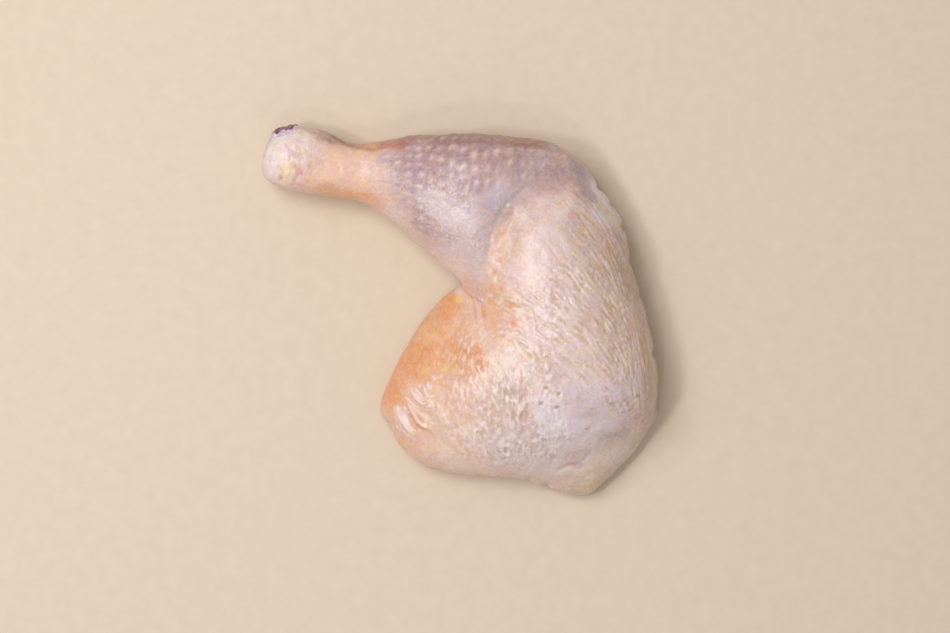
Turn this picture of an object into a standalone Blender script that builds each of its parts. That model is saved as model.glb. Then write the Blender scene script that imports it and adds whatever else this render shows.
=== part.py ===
"""A raw chicken leg quarter with its skin on, lying skin side up.

Units are metres, with +Z up. The origin is under the middle of the leg, on the surface it lies on.
+X points from the hock towards the back edge of the thigh, and +Y from the cut end of the thigh
towards the drumstick. Measures below are in millimetres, and MM turns them into metres.

The leg is one body of skin, meat and bone. Soft forms for the drumstick, the thigh and its skin
flaps are lofted ring by ring, joined, and smoothed into each other. Folds and bulges are then
raised on that skin. The end of the hock joint, which the skin leaves bare, is a piece of its own.
"""

import math

import bmesh
import bpy
import numpy as np
from mathutils import Vector

MM = 0.001

# Driving sizes
DRUMSTICK_TOP = 70.3
CALF_HEIGHT = 41.0
SHANK_HEIGHT = 23.2
KNUCKLE_HEIGHT = 25.5
THIGH_HEIGHT = 43.0
FLAP_HEIGHT = 26.0
TAIL_HEIGHT = 17.5
JOINT_GAP = 0.3

# Meshing
RING_POINTS = 96
ROLL_POINTS = 24
OUTLINE_POINTS = 144
TOP_RINGS = 16
SIDE_RINGS = 7
LOFT_RINGS = 72
VOXEL = 1.0
SMOOTH_FACTOR = 0.5
BLEND_ROUNDS = 14
LEG_TRIANGLES = 9600
CONTACT_DEPTH = 0.55
JOINT_SEGMENTS = 24
JOINT_RINGS = 12

# The drumstick from hock to knee, as stations along X:
# x, y of its upper and lower edge, height of the underside, heights of the upper and lower edge,
# height of the crest, lean of the crest towards the upper edge
DRUMSTICK = (
    (-79.2, 61.0, 56.0, 8.0, 11.5, 11.5, 15.0, 0.00),
    (-78.2, 65.6, 53.0, 4.2, 12.0, 12.0, 19.5, 0.00),
    (-75.5, 69.2, 50.9, 1.6, 12.5, 12.5, 23.0, 0.02),
    (-70.5, 71.8, 49.0, 0.4, 12.8, 12.8, KNUCKLE_HEIGHT, 0.04),
    (-63.0, 73.2, 47.1, 0.0, 12.8, 12.8, KNUCKLE_HEIGHT, 0.04),
    (-55.0, 72.2, 45.8, 0.6, 12.6, 12.6, 24.6, 0.02),
    (-47.0, 68.4, 44.7, 1.6, 12.4, 12.4, 23.6, 0.00),
    (-39.0, 66.8, 43.2, 2.0, 12.6, 12.6, SHANK_HEIGHT, 0.00),
    (-30.0, 67.9, 37.4, 1.4, 13.0, 13.0, 26.4, 0.04),
    (-20.0, 69.8, 29.0, 0.5, 14.2, 13.0, 32.5, 0.10),
    (-8.0, 70.2, 18.8, 0.0, 15.0, 13.5, 38.0, 0.18),
    (2.0, DRUMSTICK_TOP, 9.6, 0.0, 15.5, 17.0, 40.4, 0.26),
    (8.5, 70.0, 5.0, 0.0, 15.5, 21.0, CALF_HEIGHT, 0.28),
    (11.2, 70.0, 17.0, 0.0, 15.5, 27.0, CALF_HEIGHT, 0.20),
    (14.5, 69.9, 31.0, 0.0, 15.5, 30.0, 40.6, 0.10),
    (20.0, 69.6, 42.0, 0.0, 15.5, 32.0, 39.6, 0.04),
    (27.0, 68.7, 48.0, 0.0, 15.2, 32.0, 37.6, 0.00),
    (36.0, 66.9, 50.5, 0.0, 15.0, 30.0, 34.4, 0.00),
    (45.0, 62.1, 50.5, 0.0, 14.5, 26.0, 29.6, 0.00),
    (51.6, 56.7, 50.0, 3.0, 14.0, 21.0, 24.0, 0.00),
)
# How square the drumstick's sections are: 1 is an ellipse, and less is fuller
SIDE_FULLNESS = 0.92
RISE_FULLNESS = 0.95
LEAN_CURVE = 1.4

# Cushions: each has an outline seen from above, counter-clockwise, as x, y and the height of its
# widest line, and a crest that it domes up to
THIGH_CREST = (44.0, -10.0)
THIGH = (
    (79.2, -28.0, 14.0),
    (78.4, -38.0, 13.5),
    (74.6, -46.0, 13.0),
    (66.0, -51.0, 12.0),
    (56.0, -55.4, 11.0),
    (47.0, -60.4, 10.0),
    (38.0, -65.6, 9.0),
    (22.0, -66.8, 9.0),
    (4.0, -64.0, 9.5),
    (-9.0, -56.0, 10.5),
    (-15.0, -42.0, 11.5),
    (-10.0, -22.0, 12.5),
    (0.0, -3.0, 14.5),
    (6.0, 14.0, 20.0),
    (9.6, 30.0, 24.0),
    (16.6, 46.0, 25.0),
    (28.0, 59.4, 21.0),
    (39.6, 64.3, 14.5),
    (47.6, 59.9, 14.0),
    (55.4, 50.4, 13.5),
    (62.0, 39.6, 13.0),
    (66.6, 27.6, 13.0),
    (69.8, 13.0, 13.0),
    (73.8, 0.0, 13.5),
    (77.0, -14.0, 14.0),
)
FLAP_CREST = (8.0, -34.0)
FLAP = (
    (-0.6, 10.6, 6.5),
    (-9.0, 3.4, 6.0),
    (-15.4, -3.8, 5.5),
    (-19.8, -11.2, 5.5),
    (-24.4, -19.4, 5.5),
    (-28.8, -28.2, 5.5),
    (-31.6, -35.2, 5.0),
    (-32.8, -39.6, 5.0),
    (-31.6, -42.6, 5.0),
    (-28.6, -45.4, 5.5),
    (-26.6, -50.6, 6.0),
    (-23.4, -55.4, 6.5),
    (-17.0, -60.6, 7.0),
    (-8.6, -64.0, 7.0),
    (2.0, -66.0, 7.0),
    (14.0, -67.0, 7.5),
    (26.0, -68.2, 7.5),
    (35.0, -70.6, 7.0),
    (40.0, -60.0, 8.0),
    (36.0, -40.0, 8.0),
    (26.0, -18.0, 8.0),
    (16.0, 0.0, 8.0),
    (8.0, 11.0, 7.5),
)
TAIL_CREST = (56.0, -60.0)
TAIL = (
    (79.0, -40.0, 7.5),
    (75.8, -48.0, 6.5),
    (69.8, -57.0, 6.0),
    (62.6, -64.0, 5.5),
    (56.6, -70.2, 5.0),
    (51.4, -74.2, 4.5),
    (44.6, -74.3, 4.5),
    (38.4, -72.1, 4.8),
    (32.0, -69.2, 5.5),
    (30.0, -58.0, 7.0),
    (40.0, -48.0, 8.0),
    (60.0, -36.0, 9.0),
)
# name, outline, crest, height, fullness of the dome, how far the side tucks in for each unit of height
CUSHIONS = (
    ("thigh", THIGH, THIGH_CREST, THIGH_HEIGHT, 2.0, 0.7),
    ("flap", FLAP, FLAP_CREST, FLAP_HEIGHT, 2.2, 0.9),
    ("tail", TAIL, TAIL_CREST, TAIL_HEIGHT, 2.6, 0.9),
)

# The lumpy hem of skin along the back of the thigh: x, y, z, radius
BACK_ROLL = (
    (53.4, 48.4, 11.0, 2.0),
    (56.2, 45.2, 10.5, 3.1),
    (59.2, 40.4, 9.5, 3.1),
    (62.5, 34.9, 9.0, 3.4),
    (64.4, 28.8, 8.5, 2.9),
    (65.4, 22.0, 8.0, 3.4),
    (66.6, 14.0, 7.5, 3.0),
    (69.2, 6.0, 7.0, 3.4),
    (71.6, -2.0, 7.0, 3.2),
    (73.4, -9.0, 7.0, 3.1),
    (74.6, -15.4, 7.0, 3.0),
    (74.8, -20.4, 7.5, 4.3),
    (74.4, -28.0, 8.0, 4.3),
    (73.0, -36.0, 8.0, 2.6),
)

# Where slack skin bridges two forms with no crease between them: x, y, radius
SLACK = (
    (-2.0, -40.0, 26.0),
    (14.0, -52.0, 22.0),
    (4.0, -22.0, 14.0),
    (40.0, 52.0, 24.0),
    (46.0, 24.0, 28.0),
    (68.0, -45.0, 15.0),
)
SLACK_ROUNDS = 90
# Slack skin is smoothed where its normal's Z is above this, and fully where it is 1 higher
SLACK_SLOPE = -0.4

# Grooves in the skin, seen from above: route, depth, width. They are where the skin of the drumstick
# meets the thigh, from its tip up to where it fades; the line below that tip; the flap at the tail
KNEE_CREASE = (
    (9.4, 3.6),
    (10.4, 14.0),
    (11.8, 27.0),
    (15.4, 37.2),
    (20.2, 43.4),
    (27.0, 49.4),
    (34.0, 53.4),
)
GROOVES = (
    (KNEE_CREASE, 1.8, 1.7),
    (((9.0, 2.0), (10.6, -4.0), (11.6, -14.0)), 1.2, 2.0),
    (((38.0, -65.0), (43.0, -61.6), (49.3, -59.2), (54.6, -54.6), (62.0, -52.4)), 1.2, 2.2),
)
GROOVE_END = 0.1

# Soft bulges and hollows: x, y, radius along x, radius along y, height
BULGES = (
    (56.0, -34.0, 16.0, 15.0, 1.6),
    (30.0, 30.0, 14.0, 12.0, 1.0),
    (-12.0, 50.0, 16.0, 9.0, 0.6),
    (-10.0, -12.0, 9.0, 10.0, -0.8),
)

# Rolls of slack skin at the low corner of the thigh: x and y of the middle, half length, width, height
FOLD_TURN = math.radians(-46)
FOLD_BEND = 0.03
FOLDS = (
    (-15.7, -42.0, 7.5, 1.9, 1.4),
    (-21.0, -45.6, 6.0, 2.0, 1.3),
    (-16.2, -34.4, 5.0, 1.6, 1.0),
    (-11.2, -30.2, 4.4, 1.4, 0.8),
    (-9.0, -41.0, 7.0, 1.9, 0.9),
)

# Relief is at its full height where the skin is less steep than this, as the normal's Z
FULL_RELIEF = 0.62

# The bare end of the hock joint: the middle of its two knuckles, and how they lie and turn
JOINT_AT = (-69.0, 69.0, 13.4)
JOINT_TURN = math.radians(18)
# place along the joint, radii
KNUCKLES = (
    (-2.0, (5.3, 5.2, 6.8)),
    (2.7, (4.4, 4.9, 6.0)),
)

# Colour and roughness
SKIN = (0.87, 0.72, 0.64, 1.0)
SKIN_ROUGHNESS = 0.45
CARTILAGE = (0.46, 0.24, 0.30, 1.0)
CARTILAGE_ROUGHNESS = 0.35


def curve_through(points, samples, closed):
    """Points evenly spaced in parameter on a Catmull-Rom curve through the given ones."""
    points = np.array(points, float)
    count = len(points)
    if closed:
        place = np.arange(samples) * count / samples
    else:
        place = np.linspace(0, count - 1, samples)
        points = np.vstack([2 * points[0] - points[1], points, 2 * points[-1] - points[-2]])
    start = np.minimum(place.astype(int), count - (0 if closed else 2))
    t = (place - start)[:, None]
    shift = 0 if closed else 1
    before, first, second, after = (
        points[(start + shift + step) % len(points)] for step in (-1, 0, 1, 2)
    )
    return 0.5 * (
        2 * first
        + (second - before) * t
        + (2 * before - 5 * first + 4 * second - after) * t**2
        + (3 * first - before - 3 * second + after) * t**3
    )


def signed_power(value, power):
    return np.sign(value) * np.abs(value) ** power


def object_from_rings(name, rings):
    """A closed mesh object that bridges the rings in turn and caps the first and last."""
    mesh = bpy.data.meshes.new(name)
    shape = bmesh.new()
    loops = [[shape.verts.new(MM * point) for point in ring] for ring in rings]
    for low, high in zip(loops, loops[1:]):
        for here in range(len(low)):
            after = (here + 1) % len(low)
            shape.faces.new((low[here], low[after], high[after], high[here]))
    shape.faces.new(loops[0][::-1])
    shape.faces.new(loops[-1])
    bmesh.ops.recalc_face_normals(shape, faces=shape.faces)
    shape.to_mesh(mesh)
    shape.free()
    made = bpy.data.objects.new(name, mesh)
    bpy.context.scene.collection.objects.link(made)
    return made


def drumstick(name):
    """A tube along X whose sections are wider than high and lean towards the upper edge."""
    turn = np.linspace(0, 2 * math.pi, RING_POINTS, endpoint=False)
    across, up = np.cos(turn), np.sin(turn)
    rings = []
    for x, top, low, under, top_z, low_z, crest, lean in curve_through(
        DRUMSTICK, LOFT_RINGS, closed=False
    ):
        half = (top - low) / 2
        y = (top + low) / 2 + half * signed_power(across, SIDE_FULLNESS)
        y += lean * half * np.clip(up, 0, 1) ** LEAN_CURVE
        widest = low_z + (top_z - low_z) * (1 + across) / 2
        reach = np.where(up > 0, crest - widest, widest - under)
        z = widest + reach * signed_power(up, RISE_FULLNESS)
        rings.append(np.column_stack([np.full(RING_POINTS, x), y, z]))
    return object_from_rings(name, rings)


def cushion(name, outline, crest, height, fullness, tuck):
    """A soft pad that domes up to its crest and tucks in under its outline to a flat base."""
    edge = curve_through(outline, OUTLINE_POINTS, closed=True)
    centre = np.array([*crest, 0.0])
    reach = (edge - centre) * (1, 1, 0)
    inward = -reach / np.linalg.norm(reach, axis=1)[:, None]
    rings = []
    for turn in np.linspace(math.pi / 2, 0, SIDE_RINGS, endpoint=False):
        ring = edge + inward * (tuck * edge[:, 2] * (1 - math.cos(turn)))[:, None]
        ring[:, 2] = edge[:, 2] * (1 - math.sin(turn))
        rings.append(ring)
    for turn in np.linspace(0, math.pi / 2, TOP_RINGS, endpoint=False):
        ring = centre + reach * math.cos(turn) ** (2 / fullness)
        ring[:, 2] = edge[:, 2] + (height - edge[:, 2]) * math.sin(turn)
        rings.append(ring)
    return object_from_rings(name, rings)


def roll(name, route):
    """A lumpy tube along a route of points, each with its own radius."""
    path = curve_through(route, LOFT_RINGS, closed=False)
    ahead = np.gradient(path[:, :3], axis=0)
    ahead /= np.linalg.norm(ahead, axis=1)[:, None]
    side = np.cross(ahead, (0, 0, 1))
    side /= np.linalg.norm(side, axis=1)[:, None]
    over = np.cross(side, ahead)
    turn = np.linspace(0, 2 * math.pi, ROLL_POINTS, endpoint=False)[:, None]
    rings = [
        at[:3] + at[3] * (np.cos(turn) * out + np.sin(turn) * rise)
        for at, out, rise in zip(path, side, over)
    ]
    return object_from_rings(name, rings)


def baked(made):
    """Applies the object's modifiers to its mesh."""
    graph = bpy.context.evaluated_depsgraph_get()
    mesh = bpy.data.meshes.new_from_object(made.evaluated_get(graph))
    made.modifiers.clear()
    made.data = mesh


def smoothed(made, rounds, group=""):
    """Smooths the mesh for a number of rounds, in one vertex group or all over."""
    smooth = made.modifiers.new("smooth", "SMOOTH")
    smooth.factor = SMOOTH_FACTOR
    smooth.iterations = rounds
    smooth.vertex_group = group
    baked(made)


def united(base, others):
    """Joins the other objects to the base as one closed skin of even faces, and removes them."""
    parts = bpy.data.collections.new("parts")
    bpy.context.scene.collection.children.link(parts)
    for other in others:
        bpy.context.scene.collection.objects.unlink(other)
        parts.objects.link(other)
    union = base.modifiers.new("union", "BOOLEAN")
    union.operation = "UNION"
    union.operand_type = "COLLECTION"
    union.collection = parts
    union.solver = "EXACT"
    remesh = base.modifiers.new("remesh", "REMESH")
    remesh.mode = "VOXEL"
    remesh.voxel_size = VOXEL * MM
    baked(base)
    for other in others:
        bpy.data.objects.remove(other)
    bpy.data.collections.remove(parts)


def blended(made):
    """Softens the joins between the forms, and most of all where slack skin bridges two of them."""
    smoothed(made, BLEND_ROUNDS)
    group = made.vertex_groups.new(name="slack")
    for vertex in made.data.vertices:
        x, y = vertex.co.xy / MM
        near = max(1 - math.hypot(x - at_x, y - at_y) / radius for at_x, at_y, radius in SLACK)
        weight = math.sqrt(max(near, 0)) * min(max(vertex.normal.z - SLACK_SLOPE, 0), 1)
        if weight > 0:
            group.add([vertex.index], weight, "REPLACE")
    smoothed(made, SLACK_ROUNDS, group.name)


def distance_to(route, x, y):
    """Each point's distance from a route seen from above, and how far along it the nearest place is."""
    path = curve_through(route, LOFT_RINGS, closed=False)
    gaps = np.hypot(x[:, None] - path[:, 0], y[:, None] - path[:, 1])
    nearest = gaps.argmin(axis=1)
    return gaps[np.arange(len(x)), nearest], nearest / (LOFT_RINGS - 1)


def relief(x, y):
    """How far the skin stands out from the soft form, in millimetres, seen from above."""
    rise = np.zeros_like(x)
    for at_x, at_y, long, wide, height in BULGES:
        rise += height * np.exp(-(((x - at_x) / long) ** 2) - ((y - at_y) / wide) ** 2)
    for route, depth, width in GROOVES:
        gap, along = distance_to(route, x, y)
        rise -= depth * (1 - (1 - GROOVE_END) * along) * np.exp(-((gap / width) ** 2))
    for at_x, at_y, half, width, height in FOLDS:
        along = (x - at_x) * math.cos(FOLD_TURN) + (y - at_y) * math.sin(FOLD_TURN)
        across = (y - at_y) * math.cos(FOLD_TURN) - (x - at_x) * math.sin(FOLD_TURN)
        across = across + FOLD_BEND * along**2
        rise += height * np.exp(-((along / half) ** 4) - (across / width) ** 2)
    return rise


def raise_relief(made):
    """Moves the skin out along its normals, most where it faces up and not at all underneath."""
    mesh = made.data
    count = len(mesh.vertices)
    points = np.empty(count * 3)
    normals = np.empty(count * 3)
    mesh.vertices.foreach_get("co", points)
    mesh.vertices.foreach_get("normal", normals)
    points = points.reshape(-1, 3) / MM
    normals = normals.reshape(-1, 3)
    facing_up = np.clip(normals[:, 2] / FULL_RELIEF, 0, 1)
    points += normals * (relief(points[:, 0], points[:, 1]) * facing_up)[:, None]
    mesh.vertices.foreach_set("co", (points * MM).ravel())
    mesh.update()


def thinned(made, triangles):
    """Reduces the mesh to about that many triangles, keeping most of them where it curves."""
    made.data.calc_loop_triangles()
    thin = made.modifiers.new("thin", "DECIMATE")
    thin.ratio = triangles / len(made.data.loop_triangles)
    thin.use_collapse_triangulate = True
    baked(made)


def pressed_flat(made):
    """Flattens the underside where the leg's own weight presses it on the surface that it lies on."""
    mesh = made.data
    points = np.empty(len(mesh.vertices) * 3)
    mesh.vertices.foreach_get("co", points)
    points = points.reshape(-1, 3)
    base = points[:, 2].min() + CONTACT_DEPTH * MM
    points[:, 2] = np.maximum(points[:, 2], base)
    mesh.vertices.foreach_set("co", points.ravel())
    mesh.update()


def set_down(leg, on_it):
    """Moves the leg, which carries its pieces, so that the origin is under the middle of them all."""
    bpy.context.view_layer.update()
    corners = np.array(
        [piece.matrix_world @ Vector(corner) for piece in (leg, *on_it) for corner in piece.bound_box]
    )
    low, high = corners.min(axis=0), corners.max(axis=0)
    leg.location = (-(low[0] + high[0]) / 2, -(low[1] + high[1]) / 2, -low[2])


def knuckle(name, along, radii, grow):
    """One rounded knuckle of the joint, in place."""
    bpy.ops.mesh.primitive_uv_sphere_add(segments=JOINT_SEGMENTS, ring_count=JOINT_RINGS, radius=1)
    made = bpy.context.object
    made.name = name
    made.scale = [(radius + grow) * MM for radius in radii]
    made.rotation_euler = (0, 0, JOINT_TURN)
    x, y, z = JOINT_AT
    made.location = (
        (x + along * math.cos(JOINT_TURN)) * MM,
        (y + along * math.sin(JOINT_TURN)) * MM,
        z * MM,
    )
    bpy.ops.object.transform_apply(location=True, rotation=True, scale=True)
    return made


def hock_joint(name, leg, grow):
    """The bare end of the joint: two knuckles side by side, made one, and carried by the leg."""
    made, second = (knuckle(name, along, radii, grow) for along, radii in KNUCKLES)
    union = made.modifiers.new("union", "BOOLEAN")
    union.object = second
    union.operation = "UNION"
    union.solver = "EXACT"
    baked(made)
    bpy.data.objects.remove(second)
    made.data.shade_smooth()
    made.parent = leg
    return made


def material(name, colour, roughness):
    made = bpy.data.materials.new(name)
    made.use_nodes = True
    surface = made.node_tree.nodes["Principled BSDF"]
    surface.inputs["Base Color"].default_value = colour
    surface.inputs["Roughness"].default_value = roughness
    surface.inputs["Metallic"].default_value = 0.0
    return made


def main():
    for old in list(bpy.data.objects):
        bpy.data.objects.remove(old)
    leg = drumstick("leg_quarter")
    united(leg, [cushion(*sizes) for sizes in CUSHIONS] + [roll("back_roll", BACK_ROLL)])
    blended(leg)
    raise_relief(leg)
    thinned(leg, LEG_TRIANGLES)
    pressed_flat(leg)
    joint = hock_joint("hock_joint", leg, 0.0)
    socket = hock_joint("socket", leg, JOINT_GAP)
    socket.hide_render = True
    socket.display_type = "WIRE"
    cut = leg.modifiers.new("socket", "BOOLEAN")
    cut.operation = "DIFFERENCE"
    cut.object = socket
    cut.solver = "EXACT"
    set_down(leg, [joint])
    leg.data.shade_smooth()
    leg.data.materials.clear()
    leg.data.materials.append(material("skin", SKIN, SKIN_ROUGHNESS))
    joint.data.materials.append(material("cartilage", CARTILAGE, CARTILAGE_ROUGHNESS))


main()
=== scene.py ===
"""A raw chicken leg quarter, skin side up, with the look of its skin, fat and bare joint.

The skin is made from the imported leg: its form is smoothed, then folds, wrinkles, feather follicles
and pores are raised on it, and the same shapes give the zones of colour that the material mixes.

Measures of the leg are in millimetres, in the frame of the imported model. The stage's are in metres.
A pair of numbers is a range, over which something goes from nothing to its full strength.
"""

import math

import bmesh
import bpy
import numpy as np
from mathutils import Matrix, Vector


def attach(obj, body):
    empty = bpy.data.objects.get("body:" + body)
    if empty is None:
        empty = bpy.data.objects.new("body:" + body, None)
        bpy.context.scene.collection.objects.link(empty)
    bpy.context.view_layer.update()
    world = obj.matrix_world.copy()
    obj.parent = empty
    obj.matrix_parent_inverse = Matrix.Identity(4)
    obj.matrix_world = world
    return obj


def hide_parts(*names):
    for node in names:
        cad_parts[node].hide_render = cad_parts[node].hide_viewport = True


MM = 0.001

# The skin's mesh. Smoothing draws it in by about the shrinkage, which the relief gives back
SKIN_VOXEL = 0.8
SKIN_SMOOTHING = 12
SMOOTH_FACTOR = 0.5
SHRINKAGE = 0.12
SKIN_TRIANGLES = 192000
# Vertices nearer to each other than this are joined
MERGE = 0.0005
# The joint's copy is grown by this much, so that it closes its socket in the skin
SOCKET_FILL = 0.35
# Relief comes in over these heights above the surface that the skin lies on
CONTACT_FADE = (0.1, 3.0)
# Rounds of softening in the hollows, on skin whose normals rise by so much
EASE_ROUNDS = 320
EASED_RISE = (0.0, 0.3)
# Lines and spots are on skin whose normals rise by so much
FACING_RISE = (0.05, 0.45)

# Noise: directions and whole numbers to mix by, and the gain that brings it to about 1
GRADIENTS = np.random.default_rng(4).normal(size=(1024, 3))
GRADIENTS /= np.linalg.norm(GRADIENTS, axis=1)[:, None]
HASH_PRIMES = np.array((73856093, 19349663, 83492791), np.uint32)
HASH_ROUNDS = ((15, 0x2C1B3C6D), (12, 0x297A2D39))
HASH_LAST_SHIFT = 15
SEED_PRIME = 7919
NOISE_GAIN = 1.7
# More cells than the nearest spot can be away
FAR_CELLS = 9.0
TINY = 1e-6

# Points on each route, how many of the skin's are measured at once, and the distance out of reach
CURVE_SAMPLES = 90
ROUTE_CHUNK = 20000
FAR_AWAY = 1e3

# The knee crease, from the tip of the drumstick's skin up to where it fades
KNEE_CREASE = (
    (9.4, 3.1), (10.6, 16.9), (11.7, 28), (15.1, 37), (19.6, 42.6), (25.2, 48.2), (29.7, 51.6),
)
# The free edge of the drumstick's skin, from the notch to its tip over the flap
TONGUE_EDGE = ((-2.6, 13.2), (-0.8, 11.4), (2, 8.3), (5.5, 5.3), (9.4, 2.8))
# The whole border of the drumstick, on over the knee
DRUM_BORDER = TONGUE_EDGE + KNEE_CREASE[1:] + ((38, 56), (48, 60), (62, 64))
TAIL_FOLD = (
    (38, -64.6), (40.1, -63.4), (43.2, -61.5), (47, -60.8), (49.3, -59.2), (51.6, -56.6),
    (54.6, -53.1),
)

# Soft lines on the skin: route, strength or height, width. They fade in from the start of the route
# and out to its end, and are drawn out to so many widths
LINE_START = (-0.02, 0.15)
LINE_END = (0.75, 1.0)
LINE_REACH = 4
LINES = {
    "crease": (
        (KNEE_CREASE, 0.22, 0.9),
        (((4.6, 6.4), (5.1, 1.6), (6, -2.8), (6.6, -6.6)), 0.7, 0.5),
        (((6.8, 4.6), (8.2, 1.6), (8.7, -0.6), (9.8, -4.2)), 0.8, 0.6),
        (((9.4, 2.5), (9.8, -4), (10, -9.9)), 0.3, 0.6),
        (((-27, -28.6), (-25.4, -31.9), (-23.2, -35.1)), 0.25, 0.6),
        (((-22, -39.2), (-20, -43), (-17.6, -46), (-12.6, -48.8)), 0.6, 0.8),
        (((-20.4, -33.2), (-18.8, -35.6), (-15.6, -38)), 0.4, 0.6),
        (((-15.6, -30), (-14.4, -33), (-12.4, -35.4)), 0.4, 0.6),
        (((-7.8, -27.4), (-1.4, -27.2), (6.2, -25)), 0.3, 0.7),
        (TAIL_FOLD, 0.36, 0.8),
        (((54, -53.6), (58, -51), (63, -50.4), (68.4, -51.6)), 0.25, 1),
        (((-72, 50.4), (-70.8, 55), (-72.4, 60)), 0.3, 0.7),
        (((-66, 50), (-64.6, 54.6), (-66.2, 60.6)), 0.2, 0.7),
        (((-60, 74), (-52, 69.8), (-44, 65.6)), 0.3, 0.7),
    ),
    # raised folds of pinched skin
    "ridge": (
        (((-26, -37.6), (-23.8, -41.9), (-22.2, -44.7), (-20.2, -47.1), (-17, -50.4)), 0.5, 1.5),
        (((-25, -41), (-23.6, -44.2), (-21.6, -46.8), (-19, -49.2)), 0.3, 0.5),
        (((-24.9, -47.2), (-21.4, -49.5), (-17, -52.7)), 0.2, 0.5),
        (((-21.2, -36.3), (-19, -40.7), (-17, -43.9), (-14.2, -45.9), (-10.4, -48)), 0.75, 0.5),
        (((-22.6, -38.4), (-21.4, -40.4), (-20.2, -42.2)), 0.6, 0.6),
        (((-22, -34.5), (-19.4, -36.7), (-16.4, -39.2)), 0.75, 0.55),
        (((-20.2, -31.1), (-17.8, -34.3), (-16.2, -36.3), (-14.2, -37.3), (-11, -36.3)), 0.75, 0.5),
        (((-17.8, -30.6), (-14.6, -34.4)), 0.55, 0.5),
        (((-12.6, -27.9), (-12.2, -32.4)), 1, 0.75),
        (((-14.4, -29.7), (-13.6, -33.1), (-12, -34.5), (-9.2, -34)), 0.7, 0.5),
        (((-6.8, -26.7), (-3, -26.9), (1, -26.9)), 0.4, 0.5),
        (((20.2, -10), (21.2, -8), (23.2, -7.4), (25.2, -9), (25, -11.6)), 0.35, 0.6),
    ),
    # bluish veins and thin membrane under the skin, and painted bluish shade along the knee crease
    # and the tail fold
    "vein": (
        (((-9.4, 53.3), (-6, 54.6), (-1.8, 56.9)), 0.8, 0.8),
        (((-37, 52.6), (-28, 50.6), (-20, 50.2)), 0.35, 1.2),
        (KNEE_CREASE[1:], 0.5, 0.7),
        (KNEE_CREASE[2:], 0.25, 2.2),
        (((47, 57), (49, 51.6), (50.6, 46.4), (54.6, 41.4)), 0.8, 1.9),
        (((60, 34), (63, 29), (66, 24.4)), 0.5, 1.2),
        (TAIL_FOLD, 0.2, 1),
        (((54, -53), (58, -50.4), (63, -49.6), (68.4, -50.6)), 0.4, 1.4),
        (((30, 52), (42, 56), (52, 52)), 0.4, 2.4),
        (((-78.4, 60), (-77.6, 65.2), (-75, 68.6), (-73, 69.4)), 0.9, 0.8),
    ),
    # pale strings of sinew and edges of skin
    "sinew": (
        (((57.6, 46.6), (58.3, 43.5), (59.6, 40.6)), 1.2, 0.9),
        (((55, 39.2), (57.2, 35.8), (59.4, 31.8)), 1.2, 0.7),
        (((59.6, 30.6), (63.6, 24), (66.4, 16)), 0.5, 0.8),
        (((56.4, 50), (60.6, 43.6), (64.4, 38.4), (65.6, 33.2), (68.6, 26)), 0.5, 0.6),
        (((72, 6), (74.4, -8), (76, -22)), 0.4, 0.8),
        (((-75.6, 66.4), (-72, 68.2), (-69, 69.4), (-65.6, 71)), 1, 1),
        (((7.4, 5), (8.4, 3.6), (9.4, 2.2)), 0.5, 1),
        (((-24.9, -47.2), (-21.4, -49.5), (-17, -52.7)), 0.5, 0.5),
    ),
    # brown streaks along the shank's far edge
    "brown": (
        (((-64, 75.6), (-58, 73.8), (-52, 70.4), (-46, 66.6), (-39, 64.4)), 0.9, 0.7),
        (((-60, 72), (-54, 68.6), (-48, 65)), 0.35, 0.6),
        (((-43, 65.6), (-36, 64.2), (-27, 66)), 0.6, 0.7),
    ),
    # yellow fat showing through in lines
    "amber": (
        (((-7.8, -26.9), (-1.4, -26.7), (6.2, -24.7)), 0.8, 0.7),
        (((-8.2, -28.4), (-4.4, -30.6), (-0.2, -33.6)), 0.7, 1.3),
        (((7.4, -12), (6.4, -17), (7.4, -22)), 0.9, 1),
        (((8, 2.3), (9, -0.8), (9.8, -3.2)), 0.8, 0.8),
        (((11, 14), (11.4, 6), (11.2, -4), (10, -12)), 0.1, 1.6),
        (((5.1, 4.1), (5.6, 0.4), (6.2, -4.3)), 0.4, 0.6),
        (((-3.6, 9.6), (-4.4, 5.4), (-5.6, 2.4)), 0.7, 2),
    ),
}
# Hollows that slack skin bridges: route, out to where they are fully softened, and to where at all
EASED = (
    (KNEE_CREASE, 4.5, 16),
    (((30, -67), *TAIL_FOLD, (58, -51.5), (62, -50), (66, -47)), 7, 16),
)
# The border of the skin round the bare joint
JOINT_BORDER = (
    (-77, 69.2), (-74.8, 69.4), (-72.8, 69.2), (-71, 69.9), (-69.3, 70.6), (-66.6, 70.8),
    (-64.6, 72.8), (-62.4, 74.6),
)
# Past that border, from left to right, and above these heights, the skin draws back by so much
JOINT_EDGE = (-0.2, 0.35)
JOINT_LOW = (6.5, 8.5)
JOINT_DRAWN = 1.5
JOINT_REACH = 8.0
# How far the drumstick's skin stands over the flap along its free edge, over what width, how steep
# its lip is, and where along the edge it starts and ends
TONGUE_STEP = 0.42
TONGUE_REACH = 5.0
TONGUE_SEARCH = 7.5
TONGUE_LIP = (-0.5, 0.5)
TONGUE_START = (0.1, 0.3)
TONGUE_END = (0.97, 1.0)

# The way that wrinkles run, at places seen from above: x, y, and turn from the X axis, clockwise in
# degrees. Each place counts for less beyond the reach
WAYS = (
    (14, 12, 12), (16, -6, 16), (28, 2, 30), (44, 6, 44), (60, 2, 58), (70, 12, 66),
    (74, -20, 82), (30, -12, 26), (46, -18, 38), (58, -22, 52), (44, 34, 46), (60, 36, 54),
    (20, -28, 84), (22, -46, 90), (2, -44, 78), (-4, -20, 20), (-18, -40, 58), (-4, 0, 60),
)
WAY_REACH = 6.0
# Samples of noise along a wrinkle or streak
STREAK_SAMPLES = 7
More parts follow.
